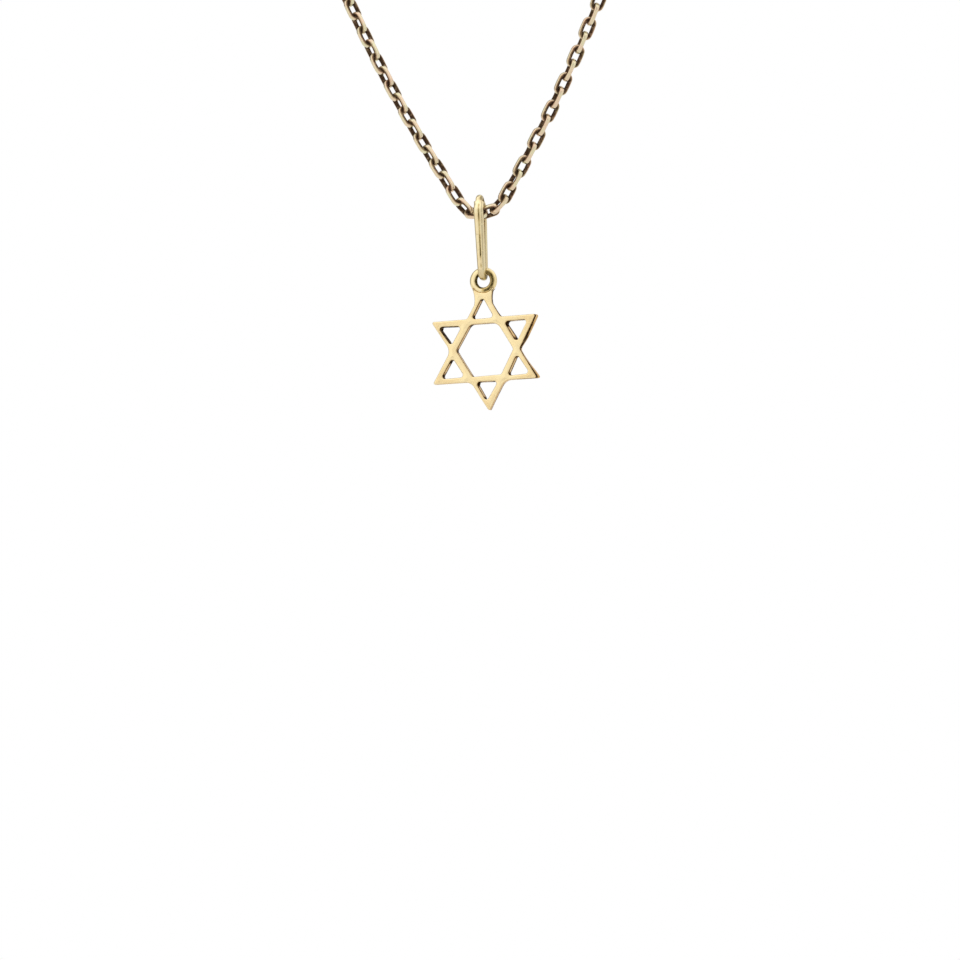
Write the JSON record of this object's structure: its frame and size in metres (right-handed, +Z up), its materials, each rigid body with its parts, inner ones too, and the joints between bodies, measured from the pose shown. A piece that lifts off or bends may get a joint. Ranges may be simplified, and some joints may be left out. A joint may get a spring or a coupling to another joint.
{
  "type": "star pendant on a chain",
  "caption": "Openwork six-pointed star pendant that hangs by a ring and a long narrow bail from a fine closed cable chain.",
  "frame": {"origin": "middle of the clasp at the back of the neck, where the chain is held", "axes": "+Z up along the body from the star to the neck, the star's front face towards -Y, +X to the right as seen from the front"},
  "size_m": [0.0994, 0.0582, 0.1691],
  "materials": {
    "gold": "polished",
    "old_gold": "polished, darkened in the recesses"
  },
  "bodies": {
    "chain": {"chain": "old_gold", "clasp": "gold"},
    "bail": {"bail": "gold"},
    "star": {"star": "gold"}
  },
  "joints": [
    {"name": "bail_swing", "type": "hinge", "parent": "chain", "child": "bail", "pos_m": [-0.00025, -0.05481, -0.14278], "axis": [1, 0, 0], "range_deg": [-90, 90]},
    {"name": "star_swing", "type": "hinge", "parent": "bail", "child": "star", "pos_m": [-0.00025, -0.05481, -0.15135], "axis": [0, 1, 0], "range_deg": [-90, 90]}
  ]
}
